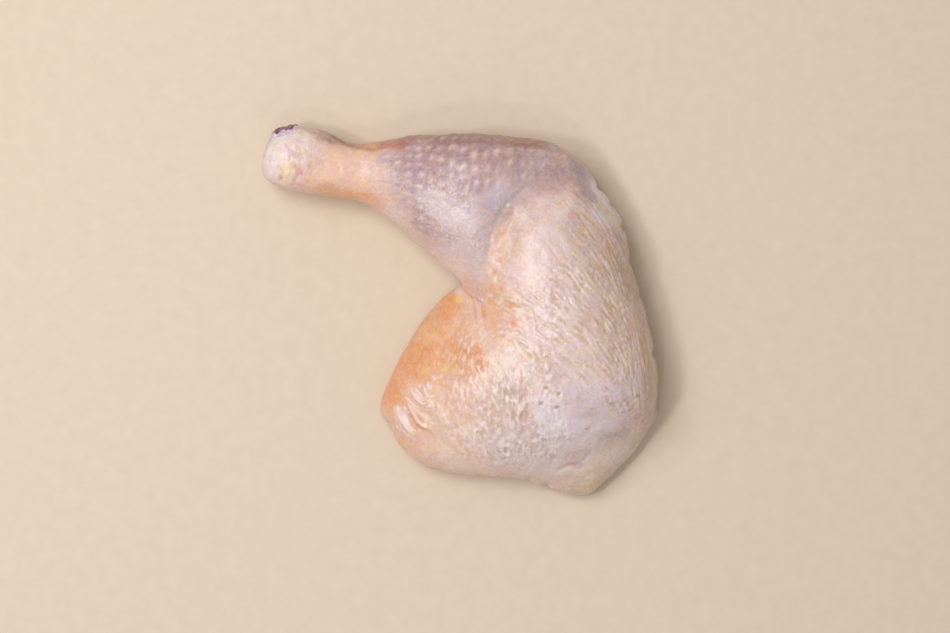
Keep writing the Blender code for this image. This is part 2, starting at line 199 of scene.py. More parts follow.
# Long wrinkles, then the short crinkles like wet crepe
WRINKLE_CELL = 1.3
WRINKLE_LENGTH = 3.8
WRINKLE_HEIGHT = 0.2
CRINKLE_CELL = 1.35
CRINKLE_LENGTH = 3.0
CRINKLE_HEIGHT = 0.18
# Noise that cuts across the wrinkles
CUT_CELL = 1.9
CUT_STRENGTH = 0.9
# Wrinkles come and go in patches: how much is left between them, and crinkles lost in them
PATCH_CELL = 7.0
PATCH_EDGE = (-0.5, 0.35)
WRINKLED_LEAST = 0.35
CRINKLED_LOSS = 0.45
# Streaks of colour along the wrinkles
STREAK_CELL = 2.6
STREAK_LENGTH = 9.0
GRISTLE_HEIGHT = 0.05
# Feather follicles in staggered rows: the weakest has the least share of the height, and the skin
# between them is sunk by a share
FOLLICLE_SPACING = 4.5
FOLLICLE_SIZE = 1.2
FOLLICLE_HEIGHT = 0.32
FOLLICLE_JITTER = 0.34
FOLLICLE_SLANT = 0.55
FOLLICLE_SQUEEZE = (1, 1.15)
FOLLICLE_LEAST = 0.4
FOLLICLE_SINK = 0.3
PORE_CELL = 4.2
PORE_SIZE = 0.55
PORE_DEPTH = 0.3
PORE_JITTER = 0.9
UNEVEN_CELL = 13.0
UNEVEN_HEIGHT = 0.35
RIPPLE_CELL = 5.5
RIPPLE_HEIGHT = 0.18
GRAIN_CELL = 1.8
GRAIN_HEIGHT = 0.04
# The white and pearl zones, partly painted highlight, keep this share on steep sides, so they are
# lighter on the tops
STEEP_WHITE = 0.3
# A slow bend sways what lies on the skin by so much, so that no border or line is even
BEND_CELL = 9.0
BEND_SEEDS = (31, 32, 33)
ZONE_SWAY = 2.6
BORDER_SWAY = 0.9
LINE_SWAY = 0.5
WRINKLE_SWAY = 0.6
FOLLICLE_SWAY = 0.7

# The bare joint: its mesh, its lumps, and the ragged border of the blood on it
JOINT_VOXEL = 0.4
JOINT_SMOOTHING = 8
JOINT_GROWTH = 0.1
LUMP_CELL = 2.2
LUMP_HEIGHT = 0.28
CLOT_CELL = 2.0
CLOT_SWAY = 0.7
CLOT_EDGE = (1.1, 1.9)

# The drumstick's axis: x, y, z
DRUM_AXIS = (
    (-80, 58.5, 12.5), (-63, 60.1, 12.5), (-39, 55, 12.5), (-20, 49.4, 14), (-8, 44.5, 15),
    (8, 38, 16), (30, 44, 16), (62, 52, 14),
)
# The radius that gives its girth
DRUM_GIRTH = 19.0
# How soft its border is and how far it is measured from it. Further away, the drumstick is what
# lies above the low line and left of the right one, or above the high line
BORDER_BLEND = (-1.8, 1.8)
BORDER_REACH = 12.0
DRUM_LOW = 30
DRUM_RIGHT = 40
DRUM_HIGH = 62
# The band of its skin beside the knee crease
BESIDE_WIDTH = 7.0
BESIDE_REACH = 20.0
BESIDE_EDGE = (-0.6, 1.0)

# Soft zones seen from above, as ellipses: x, y, radius along, radius across, turn in degrees, and
# strength. Their border is soft from the first share of the radius out to the second
ZONE_BORDER = (0.45, 1.25)
ZONES = {
    # where the skin is wrinkled
    "wrinkled": (
        (50, -3, 27, 34, 10, 1),
        (52, 32, 12, 24, 30, 0.6),
        (26, -6, 18, 16, 0, 0.75),
        (15, 4, 7, 16, 0, 0.6),
        (68, -30, 10, 26, 0, 0.6),
        (52, -36, 24, 20, 0, 0.18),
    ),
    # where it is crinkled like wet crepe
    "crinkled": (
        (19, -36, 15, 15, 0, 1),
        (34, -20, 8, 8, 0, 0.8),
        (20, -52, 26, 12, 0, 1),
        (2, -38, 14, 16, 0, 0.55),
        (36, -38, 7, 18, 0, 0.8),
        (-8, -14, 14, 14, 0, 0.16),
        (4, -18, 9, 16, 0, 0.6),
        (-12, -54, 22, 8, -20, 0.3),
        (-22, -45, 4, 7, 30, 0.4),
    ),
    "folliculate": (
        (-6, 58, 38, 20, -4, 1),
        (30, 62, 26, 12, -10, 0.8),
        (-12, 40, 26, 18, -30, 0.7),
        (-60, 60, 22, 16, 0, 0.15),
    ),
    "pored": (
        (54, -38, 24, 18, 0, 1),
        (68, -34, 9, 22, 0, 1),
        (32, 22, 18, 22, 0, 0.35),
    ),
    # thin skin over gristle
    "gristly": ((-68, 60, 12, 14, 0, 1),),
    # pearly skin, and painted sheen on the left of the thigh's bulge and low on the drumstick
    "pearl_and_sheen": (
        (36, -42, 8, 13, 10, 0.9),
        (48, -48, 14, 6, 10, 0.6),
        (40, -52, 10, 5, 0, 0.4),
        (-23.2, -43.8, 2.4, 6, 28, 0.35),
        (60, 43, 3.5, 13, 34, 1),
        (-4, 38, 15, 6, -34, 0.45),
        (16, 44.5, 7, 6, 40, 0.6),
        (58, -46, 7, 6, 30, 0.4),
        (36, -62, 14, 6, 0, 0.4),
        (-75, 58, 6, 8, 0, 0.5),
    ),
    # painted shade darkening the upper edge
    "edge_shade": (
        (-12, 70, 30, 5, -1, 0.8),
        (26, 68, 16, 4, -10, 0.8),
        (-48, 69, 12, 3, -8, 0.4),
        (60, 52, 4, 12, 40, 0.3),
        (20, 56, 12, 6, -10, 0.2),
    ),
    # low on the drumstick, with fine bumps and painted glints in fine grains
    "satin": (
        (-8, 38, 20, 10, -38, 1),
        (4, 26, 12, 10, -50, 0.8),
        (-32, 54, 14, 6, -20, 0.5),
    ),
    # where it is less moist
    "dry": (
        (-58, 58, 22, 16, 0, 1),
        (-36, 54, 10, 14, 0, 0.9),
    ),
    # colours
    "orange": (
        (-19, -17, 24, 8, 58, 0.85),
        (-28, -34, 8, 12, 20, 0.8),
        (-10, -6, 13, 8, 54, 0.8),
        (-10, -18, 15, 12, 20, 0.9),
        (5, -19, 7, 6, 0, 0.6),
        (12.5, 3, 5.5, 14, 0, 0.3),
        (2, -21, 9, 7, 0, 0.35),
        (-4.6, 4, 5.5, 6, 30, 0.8),
        (4.6, 8.4, 8, 3.6, -40, 0.6),
        (1, -3, 6, 8, 0, 0.35),
        (-44, 45.6, 15, 4, -8, 0.6),
        (-34, 48, 8, 6, -40, 0.25),
        (-24, -50, 10, 7, -40, 0.3),
        (-18, -43.5, 7, 3, -40, 0.5),
        (-33, 67, 12, 4, 5, 0.5),
        (18, -1, 8, 12, 10, 0.3),
    ),
    "peach": (
        (-50, 56, 24, 14, 0, 0.7),
        (14, 14, 7, 24, -6, 0.5),
        (21, 28, 8, 14, -10, 0.6),
        (14, -8, 13, 12, 0, 0.6),
        (-10, -45, 20, 18, 0, 0.55),
        (36, 4, 22, 16, 0, 0.2),
        (-4, -60, 24, 7, -10, 0.6),
        (0, -4, 12, 10, 60, 0.6),
        (-4, -30, 18, 10, 10, 0.5),
    ),
    "mauve": (
        (-6, 62, 30, 13, -2, 1),
        (4, 70, 44, 7, -2, 0.7),
        (32, 60, 24, 13, -16, 0.8),
        (-6, 50, 28, 9, -14, 0.6),
        (-11, 38, 22, 12, -40, 0.65),
        (18, 42, 8, 9, 30, 0.3),
        (50, 46, 10, 4.5, -55, 0.55),
        (45, 37, 7, 5, 40, 0.3),
        (63, -50, 6, 6, 40, 0.35),
        (-2, 50.5, 13, 6, -20, 1),
        (-14, 36, 9, 5, -40, 0.4),
        (8, 55, 9, 6, 0, 0.5),
        (28, 46, 9, 4, 45, 0.35),
        (40, -60, 20, 9, -20, 0.1),
        (68, -36, 6, 16, 0, 0.25),
        (56, -22, 9, 7, 0, 0.12),
    ),
    "lavender": (
        (54, -40, 24, 19, 0, 0.9),
        (37, -42, 8, 12, 10, 0.7),
        (60, -48, 9, 8, 30, 0.6),
        (2, -1, 4, 6, 10, 0.2),
        (-66, 64, 12, 8, 0, 0.5),
        (-6, 50, 28, 10, -14, 0.8),
        (2, 34, 16, 14, -40, 0.6),
        (20, 40, 9, 9, 40, 0.5),
        (26, -54, 22, 10, 0, 0.6),
        (56, -22, 9, 7, 0, 0.3),
        (34, 10, 26, 34, 0, 0.35),
        (58, 46, 7, 16, 32, 0.7),
    ),
    "fat": (
        (57, -62.6, 22, 10, 36, 1),
        (76, -24, 7, 40, 0, 1),
        (70, 22, 7, 26, 15, 0.8),
        (30, -69, 20, 4, 0, 0.5),
        (54, 4, 16, 30, 15, 0.35),
        (40, 62, 16, 6, -30, 0.2),
    ),
    "yellow": (
        (-69, 56, 5, 6, -20, 0.3),
        (53.5, -71, 6, 3, 30, 0.3),
        (-10, -9, 8, 7, 0, 0.2),
        (-4, -21, 8, 6, 0, 0.12),
    ),
    # white skin and cartilage, and painted highlight on the left of the thigh's bulge, low on the
    # drumstick and under the knuckle
    "white": (
        (-75, 60, 8, 13, 0, 0.45),
        (-64, 68, 8, 5, 0, 0.5),
        (-31, 54, 8, 5, -20, 0.2),
        (-5, 39, 16, 6, -32, 0.3),
        (-2, 28, 9, 7, -30, 0.2),
        (64, -36, 8, 14, 0, 0.3),
        (16, -62, 24, 5, 0, 0.3),
        (-69, 51, 6, 4.5, -20, 0.8),
        (64, 35, 5, 14, 30, 0.5),
        (34, 28, 12, 18, 20, 0.12),
        (64, -57, 7, 4, 40, 0.35),
        (40, -56, 22, 8, 0, 0.35),
        (38, -43, 11, 12, 0, 0.6),
        (12, -58, 26, 9, 0, 0.4),
        (52, -50, 10, 6, 30, 0.4),
        (60, 38, 4, 14, 32, 0.4),
    ),
    "tan": (
        (77, -24, 6, 36, 0, 0.5),
        (67, 16, 7, 26, 14, 0.8),
        (54, 22, 9, 16, 32, 0.5),
        (18, -36, 10, 10, 0, 0.25),
        (47, 33, 6, 9, 40, 0.3),
        (62, -8, 8, 14, 20, 0.25),
        (19, 27, 5, 12, -10, 0.4),
        (25, 35, 9, 7, 20, 0.5),
        (-14, -6, 6, 4, 50, 0.3),
        (-13, -41, 6, 4, -30, 0.4),
        (-60, 73, 14, 3.5, -12, 0.5),
        (-34, 70, 20, 3, 3, 0.6),
        (10, 74, 40, 3, -2, 0.5),
        (50, -72, 12, 3, 20, 0.3),
    ),
    "blood": (
        (-24, 67.6, 9, 3.4, 4, 0.7),
        (-46, 67.4, 13, 3, -6, 0.4),
        (27, 66.6, 9, 3, -8, 0.85),
        (8, 69, 16, 2.4, 0, 0.4),
        (46, -60.6, 3.4, 1.2, 25, 0.4),
    ),
}
# Dents in the outer edge: x, y, radius, depth
NOTCHES = (
    (56.2, 49.5, 1.6, 1.3), (61, 43, 1.4, 0.6), (66, 33.7, 1.7, 1.3), (69, 19.3, 1.7, 1),
    (73, 6, 1.6, 0.5), (77.7, -17, 1.5, 0.9), (79.2, -30, 1.8, 0.5), (27.7, -68, 1.6, 0.9),
    (34.9, -70.7, 1.6, 1.1), (8, -66.4, 1.5, 0.4), (15.7, -66.9, 1.2, 0.5),
    (20.6, -68.2, 1.2, 0.5), (38.8, -72.8, 1.2, 0.5), (-27, 34.2, 1.2, 0.4),
    (-21.6, 29.4, 1.3, 0.4), (-15.4, 24.4, 1.2, 0.4), (-10.4, 20.2, 1.1, 0.4),
    (-36, 45, 1.4, 0.4), (-50, 44, 1.4, 0.4),
)
# Round spots: x, y, radius, strength or height
SPOTS = {
    # follicle pits that stand out
    "pit": (
        (33.7, -30.6, 0.7, 0.4), (34.3, -31.1, 0.5, 0.25), (38.9, -33, 0.7, 0.4),
        (39.6, -33.1, 0.5, 0.2), (37.6, -38.9, 0.7, 0.42), (38.3, -38.4, 0.55, 0.3),
        (31.6, -37.2, 0.7, 0.36), (32.3, -36.8, 0.5, 0.2), (34.6, -25.2, 0.8, 0.2),
        (46.4, -34.4, 0.6, 0.15), (52.2, -41.4, 0.6, 0.1), (60.1, -37, 0.8, 0.25),
        (66.2, -37, 0.7, 0.25), (70.5, -33.8, 0.8, 0.35), (69.6, -43, 0.7, 0.2),
        (47, -35, 0.8, 0.15), (51, -46.6, 0.8, 0.15), (16.8, 29.6, 1.2, 0.12),
        (15.2, 23.4, 1.1, 0.12), (17.2, -9.6, 1.3, 0.12),
    ),
    # orange-pink spots of the feather roots
    "root": (
        (-70.9, 52.9, 1.1, 1), (-66.5, 50.3, 1.3, 0.6), (-63, 48.8, 1.2, 0.5),
        (58.3, 38.8, 0.9, 0.9), (14, 37.2, 0.7, 0.7), (15.6, 33.4, 0.8, 0.8),
        (19.6, 37.8, 0.9, 0.8), (22.2, 35, 1, 0.6), (17.8, 30.6, 0.9, 0.8),
        (14.6, 28.2, 0.8, 0.8), (17.2, 25.4, 0.9, 0.7), (13.2, 22.6, 0.9, 0.7),
        (15.8, 19.8, 1.1, 0.9), (13.6, 15.4, 1.1, 1), (17, 13.2, 1, 0.7), (12.2, 9.6, 1.6, 0.8),
        (16.4, 8.8, 1.1, 0.8), (13, 4, 1.4, 0.4), (20, 1.9, 1, 0.9), (15.4, -1.6, 1.2, 0.7),
        (20.8, -5.2, 1.5, 1), (13.6, -5.8, 1.3, 0.6), (18.4, -12, 1.2, 0.6),
        (28.6, 41.6, 0.9, 0.5), (33.4, 40.6, 1.1, 0.6), (38.4, 42.6, 0.9, 0.4), (44, 37, 1, 0.5),
        (49, 33, 1.2, 0.5), (7.6, -16.8, 1.6, 1), (6.8, -20.4, 1.3, 0.8),
    ),
    # flushed spots
    "pink": (
        (-63.9, 54.4, 1.5, 1.2), (-66.1, 52, 0.9, 0.8), (-60.6, 57, 1.2, 0.5),
        (-64.6, 50.2, 1.3, 0.5), (-66.8, 62.4, 1.4, 0.4), (-71.6, 57.6, 0.9, 0.5),
        (31.4, -33, 1.6, 0.4), (36.4, -36, 1.4, 0.4), (45.6, -60.6, 2, 0.3),
    ),
    # spots of yellow fat
    "lemon": (
        (-71.4, 60.9, 1, 0.9), (-69.9, 56.4, 1.9, 0.9), (-67.6, 53.8, 1.5, 0.8),
        (-73.4, 64.6, 1, 0.6), (-69.4, 50.8, 1.4, 0.7), (-71.6, 67.2, 1.3, 0.6),
        (-0.6, 4.1, 1.5, 0.8), (-6, -23, 2, 0.5), (-14, -24, 1.8, 0.4), (49.1, 40.4, 0.8, 0.6),
        (62.4, 34.2, 0.8, 0.6), (59.4, 37.5, 0.7, 0.6), (53.4, 40.4, 0.8, 0.4),
    ),
    # beads of moist skin
    "bead": (
        (19.6, 41.4, 0.8, 0.45), (11.6, 15, 0.9, 0.5), (13.6, 12, 1, 0.4), (14.4, 18, 0.8, 0.35),
        (15.2, 39.6, 0.6, 0.25), (15.8, 3.8, 1, 0.4), (22, -2.4, 1, 0.45), (11.6, 6, 0.8, 0.3),
        (36, -71.4, 0.9, 0.5), (38.6, -72.2, 0.8, 0.5), (-10.4, -26.6, 1, 0.5),
        (-7.8, -26.4, 0.8, 0.45), (-6.7, -28.8, 0.7, 0.35), (-6, -41.7, 1.2, 0.35),
        (-4.9, -45, 1, 0.4), (-3.1, -51, 0.9, 0.45), (1.6, -35.5, 0.9, 0.4),
        (-72, 62.6, 1.1, 0.35), (-68.6, 57.8, 1.2, 0.3), (-66.4, 66, 1.3, 0.3),
        (-74.6, 58.6, 1.2, 0.3), (32.6, -29.6, 0.6, 0.3), (36.6, -31.8, 0.7, 0.3),
        (33.2, -34.6, 0.7, 0.3), (30.2, -35.8, 0.6, 0.3), (36.2, -37.4, 0.7, 0.3),
        (35.8, -40.6, 0.7, 0.25), (31, -41.6, 0.7, 0.25), (-69.6, 51.8, 0.7, 0.3),
        (-68.4, 54.6, 0.8, 0.3),
    ),
}

# Colours, as sRGB out of 255
CREAM = (226, 204, 194)
ROSE = (222, 188, 182)
PEACH = (232, 188, 158)
MAUVE = (164, 132, 136)
LAVENDER = (214, 196, 206)
ORANGE = (220, 152, 98)
DEEP_ORANGE = (210, 140, 88)
FAT = (206, 186, 168)
TAN = (176, 148, 118)
YELLOW = (238, 216, 162)
# white skin, also used as painted highlight
WHITE_AND_HIGHLIGHT = (236, 220, 214)
BLOOD = (158, 92, 84)
# olive of the wrinkles' hollows, darker there as painted shade
OLIVE = (192, 164, 112)
# paler tops: painted highlight on wrinkles and crinkles, and the follicles' paler skin
PALE = (236, 212, 210)
# the pores' own red, also used as painted shade in pits and creases
PORE = (164, 96, 82)
ROOT = (222, 144, 108)
# bluish grey beside the knee crease: the drumstick's skin, and painted shade on its slope down to the
# crease
CREASE_TINT_AND_SHADE = (190, 168, 176)
VEIN = (150, 146, 156)
CARTILAGE = (226, 214, 226)
CARTILAGE_SHADE = (190, 166, 188)
CLOT = (104, 40, 84)
CLOT_LIGHT = (122, 50, 82)
# painted shade for the upper edge
EDGE_SHADE = (134, 102, 98)
# pearly skin, also used as painted sheen
PEARL_AND_SHEEN = (234, 224, 232)
PINK = (214, 142, 168)
LEMON = (242, 224, 156)
# painted highlight and glints
SHEEN = (244, 228, 226)
BROWN = (118, 84, 62)
AMBER = (214, 150, 88)
SINEW = (214, 214, 226)
FLOOR = (222, 206, 186)
FLOOR_SHADE = (217, 201, 181)
# Tints laid over every colour, as linear light: neutral is a half
COOL_TONE = (0.48, 0.49, 0.54, 1.0)
WARM_TONE = (0.54, 0.52, 0.47, 1.0)
DARK_TONE = (0.44, 0.44, 0.44, 1.0)
LIGHT_TONE = (0.56, 0.56, 0.56, 1.0)

# How the shapes turn into shares of colour: a bump's loss of mauve, and the shares of the beads on
# gristle, of the satin on pored skin, and of the streaks on plain and on crinkled skin
BUMP_CLEAR = 0.6
GRISTLE_BEADS = 0.4
PORED_SATIN = 0.3
STREAK_LEAST = 0.15
CRINKLE_STREAK = 0.5
# the band beside the knee crease, partly painted shade
CREASE_TINT_EDGE = (0.0, 0.6)
STREAK_EDGE = (0.2, 1.8)
# The olive in the wrinkles' hollows, partly painted shade
VALLEY_SHADE_EDGE = (-0.2, 1.5)
# Paler tops of wrinkles, crinkles and bumps: painted highlight on the wrinkles and crinkles, and the
# follicles' own paler skin
WRINKLE_TOP = (0.0, 1.6)
CRINKLE_TOP = (0.4, 1.6)
CRINKLE_PALE = 0.7
BUMP_PALE = 0.4
# Painted highlight along the fold ridges and on the beads
RIDGE_SHEEN = 1.3
BEAD_SHEEN = 1.5
# Darker pores, pits and creases: the pores' own red, and painted shade in the pits and creases
PORE_DARK = 0.8
PIT_DARK = 1.8
CREASE_SHADE = 0.3
# Shapes that are shares as they are, and those that are clipped first
WHOLE_TINTS = ("orange", "peach", "fat", "yellow", "white", "tan", "blood")
CLIPPED_TINTS = (
    "lavender", "pearl_and_sheen", "edge_shade", "dry", "vein", "sinew", "brown", "amber", "root", "pink",
    "lemon",
)
# Zones of colour laid over each other, then the finer marks: tint, colour, strength
LAYERS = (
    ("peach", PEACH, 0.9),
    ("lavender", LAVENDER, 0.85),
    ("mauve", MAUVE, 0.92),
    # painted shade along the upper edge
    ("edge_shade", EDGE_SHADE, 0.7),
    ("fat", FAT, 0.85),
    ("orange", ORANGE, 1.0),
    ("tan", TAN, 0.8),
    # white skin and painted highlight
    ("white", WHITE_AND_HIGHLIGHT, 0.8),
    # pearly skin and painted sheen
    ("pearl_and_sheen", PEARL_AND_SHEEN, 0.8),
    ("yellow", YELLOW, 0.8),
)
MARKS = (
    # bluish band beside the knee crease, partly painted shade
    ("crease_tint_and_shade", CREASE_TINT_AND_SHADE, 0.4),
    ("blood", BLOOD, 0.8),
    ("warm_streak", TAN, 0.3),
    ("cool_streak", LAVENDER, 0.4),
    ("vein", VEIN, 0.5),
    # olive in the wrinkles' hollows, partly painted shade
    ("valley_tint_and_shade", OLIVE, 0.44),
    # painted highlight on the tops of wrinkles and crinkles, and paler follicles
    ("pale", PALE, 0.6),
    ("amber", AMBER, 0.6),
    ("root", ROOT, 0.7),
    ("pink", PINK, 0.75),
    ("lemon", LEMON, 0.6),
    ("brown", BROWN, 0.6),
    ("sinew", SINEW, 0.7),
    # painted highlight on the ridges and beads
    ("sheen", SHEEN, 0.65),
    # pores, with painted shade in the pits and creases
    ("pit", PORE, 0.85),
)
# Ranges of the materials' noise
NARROW = (0.4, 0.6)
MIDDLE = (0.35, 0.65)
WIDE = (0.3, 0.7)
# How much the zones come and go, and the deeper orange in them
PATCHY_SHARE = (0.7, 1.15)
DEEP_RANGE = (0.5, 0.68)
DEEP_SHARE = 0.12
# Painted shade in the crinkles' hollows, and painted glints on the crinkles and on the satin: noise
# from and to, share from and to
HOLLOW_SHADE_RAMP = (0.48, 0.3, 0.0, 0.42)
GLINT_RAMP = (0.52, 0.66, 0.0, 0.85)
SATIN_RAMP = (0.5, 0.68, 0.0, 0.32)
SKIN_ROUGHNESS = (0.36, 0.54)
JOINT_ROUGHNESS = (0.18, 0.34)
# The film of moisture, from moist to dry
COAT_WEIGHT = (0.5, 0.2)

FLOOR_SIZE = 4.0
FLOOR_ROUGHNESS = 0.8
WORLD_COLOUR = (1.0, 0.95, 0.9, 1)
WORLD_STRENGTH = 0.46
# Square lights: name, place, size, power in watts, colour
LIGHTS = (
    ("key", (-0.42, 0.34, 1.0), 0.55, 5.7, (1.0, 0.98, 0.96)),
    ("lamp", (-0.46, -0.06, 1.0), 0.14, 2.3, (0.98, 0.99, 1.0)),
    ("glint", (-0.15, -0.52, 1.1), 0.08, 0.8, (1.0, 1.0, 1.0)),
)
LIGHT_AIM = Vector((0, 0, 0.02))
# The camera looks straight down, and at the distance its picture is as wide as the view
CAMERA_PLACE = (0.00584, -0.00248, 1.5)
CAMERA_DISTANCE = 1.485
CAMERA_VIEW = 0.380
SENSOR_WIDTH = 36.0


def srgb(colour):
    """A linear colour from sRGB values out of 255."""
    share = np.array(colour) / 255
    linear = np.where(share <= 0.04045, share / 12.92, ((share + 0.055) / 1.055) ** 2.4)
    return (*linear.tolist(), 1.0)


def hashed(cells, seed):
    """A repeatable whole number for each cell."""
    mixed = cells.astype(np.int64).astype(np.uint32) * HASH_PRIMES[: cells.shape[-1]]
    mixed = mixed.sum(axis=-1, dtype=np.uint32) + np.uint32(seed * SEED_PRIME)
    for shift, factor in HASH_ROUNDS:
        mixed = (mixed ^ (mixed >> np.uint32(shift))) * np.uint32(factor)
    return mixed ^ (mixed >> np.uint32(HASH_LAST_SHIFT))


def chance(cells, seed):
    """A repeatable value from 0 to 1 for each cell."""
    return hashed(cells, seed) / 2**32


def noise(points, seed=0):
    """Smooth gradient noise, from about -1 to 1, for points measured in cells."""
    cell = np.floor(points).astype(np.int64)
    inside = points - cell
    blend = inside**3 * (inside * (inside * 6 - 15) + 10)
    total = np.zeros(len(points))
    for corner in np.ndindex(2, 2, 2):
        gradient = GRADIENTS[hashed(cell + corner, seed) % len(GRADIENTS)]
        weight = np.prod(np.where(corner, blend, 1 - blend), axis=1)
        total += weight * ((inside - corner) * gradient).sum(axis=1)
    return NOISE_GAIN * total


def layered(points, octaves, seed=0):
    """Noise with finer noise added on it."""
    total = np.zeros(len(points))
    for octave in range(octaves):
        total += noise(points * 2**octave, seed + octave) / 2**octave
    return total


def nearest_spot(points, jitter, seed):
    """The distance and the own value of the nearest spot, for points measured in cells.

    Each cell has one spot. In two dimensions, every second row is moved by half a cell.
    """
    cell = np.floor(points).astype(np.int64)
    size = points.shape[1]
    best = np.full(len(points), FAR_CELLS)
    value = np.zeros(len(points))
    for step in np.ndindex(*(3,) * size):
        there = cell + np.array(step) - 1
        spot = there + 0.5
        if size == 2:
            spot[:, 0] += 0.5 * (there[:, 1] % 2)
        for axis in range(size):
            spot[:, axis] += jitter * (chance(there, seed + axis) - 0.5)
        gap = np.linalg.norm(points - spot, axis=1)
        value = np.where(gap < best, chance(there, seed + size), value)
        best = np.minimum(best, gap)
    return best, value


def smooth_step(value, low, high):
    """A share that goes smoothly from 0 at the low value to 1 at the high one."""
    share = np.clip((value - low) / (high - low), 0, 1)
    return share * share * (3 - 2 * share)


def bell(gap, width):
    """A share that falls from 1 at no distance to 0 some widths away."""
    return np.exp(-((gap / width) ** 2))


def curve_through(points, samples):
    """Points evenly spaced in parameter on a Catmull-Rom curve through the given ones."""
    points = np.array(points, float)
    place = np.linspace(0, len(points) - 1, samples)
    start = np.minimum(place.astype(int), len(points) - 2)
    t = (place - start)[:, None]
    ends = np.vstack([2 * points[0] - points[1], points, 2 * points[-1] - points[-2]])
    before, first, second, after = (ends[start + step] for step in range(4))
    return 0.5 * (
        2 * first
        + (second - before) * t
        + (2 * before - 5 * first + 4 * second - after) * t**2
        + (3 * first - before - 3 * second + after) * t**3
    )


def along_route(route, x, y, reach):
    """Distance from the route, place along it from 0 to 1, and side of it, with 1 for the left.

    Points out of reach get the distance FAR_AWAY.
    """
    path = curve_through(route, CURVE_SAMPLES)
    ahead = np.gradient(path, axis=0)
    gap = np.full(len(x), FAR_AWAY)
    place = np.zeros(len(x))
    side = np.ones(len(x))
    low, high = path.min(axis=0) - reach, path.max(axis=0) + reach
    near = np.flatnonzero((x > low[0]) & (x < high[0]) & (y > low[1]) & (y < high[1]))
    for part in np.array_split(near, max(1, len(near) // ROUTE_CHUNK)):
        off = np.stack([x[part], y[part]], axis=1)[:, None] - path
        found = np.hypot(off[..., 0], off[..., 1])
        at = found.argmin(axis=1)
        rows = np.arange(len(part))
        gap[part] = found[rows, at]
        place[part] = at / (CURVE_SAMPLES - 1)
        off = off[rows, at]
        side[part] = np.sign(ahead[at, 0] * off[:, 1] - ahead[at, 1] * off[:, 0])
    return gap, place, side


def drawn(lines, x, y):
    """The strength of a group of soft lines at each point."""
    total = np.zeros(len(x))
    for route, strength, width in lines:
        gap, place, _ = along_route(route, x, y, LINE_REACH * width)
        fade = smooth_step(place, *LINE_START) * (1 - smooth_step(place, *LINE_END))
        total += strength * fade * bell(gap, width)
    return total


def spotted(spots, x, y):
    """The strength of a group of soft spots at each point."""
    total = np.zeros(len(x))
    for at_x, at_y, radius, strength in spots:
        total += strength * np.exp(-((x - at_x) ** 2 + (y - at_y) ** 2) / radius**2)
    return total


def zone(name, x, y):
    """How much of a zone each point has, from 0 to 1."""
    clear = np.ones(len(x))
    for at_x, at_y, along, across, turn, strength in ZONES[name]:
        angle = math.radians(turn)
        u = (x - at_x) * math.cos(angle) + (y - at_y) * math.sin(angle)
        v = (y - at_y) * math.cos(angle) - (x - at_x) * math.sin(angle)
        clear *= 1 - strength * (1 - smooth_step(np.hypot(u / along, v / across), *ZONE_BORDER))
    return 1 - clear


def wrinkle_ways(points, normals):
    """The direction of the wrinkles at each point, along the skin."""
    total = np.zeros((len(points), 2))
    for at_x, at_y, turn in WAYS:
        gap = np.hypot(points[:, 0] - at_x, points[:, 1] - at_y)
        angle = math.radians(turn)
        weight = (gap**2 + WAY_REACH**2) ** -2
        total += weight[:, None] * np.array((math.cos(angle), -math.sin(angle)))
    ways = np.column_stack([total, np.zeros(len(points))])
    ways /= np.linalg.norm(ways, axis=1)[:, None]
    ways -= (ways * normals).sum(axis=1)[:, None] * normals
    return ways / (np.linalg.norm(ways, axis=1)[:, None] + TINY)


def streaked(points, ways, cell, length, seed):
    """Noise drawn out along the given directions, with a spread of about 1."""
    total = np.zeros(len(points))
    for step in np.linspace(-length / 2, length / 2, STREAK_SAMPLES):
        total += noise((points + step * ways) / cell, seed)
    return total / total.std()


def drum_place(points):
    """Place along and round the drumstick, for its staggered rows of follicles."""
    axis = np.array(DRUM_AXIS)
    y = np.interp(points[:, 0], axis[:, 0], axis[:, 1])
    z = np.interp(points[:, 0], axis[:, 0], axis[:, 2])
    turn = np.arctan2(points[:, 2] - z, points[:, 1] - y)
    along = points[:, 0] + FOLLICLE_SLANT * DRUM_GIRTH * turn
    return np.stack([along, DRUM_GIRTH * turn], axis=1)


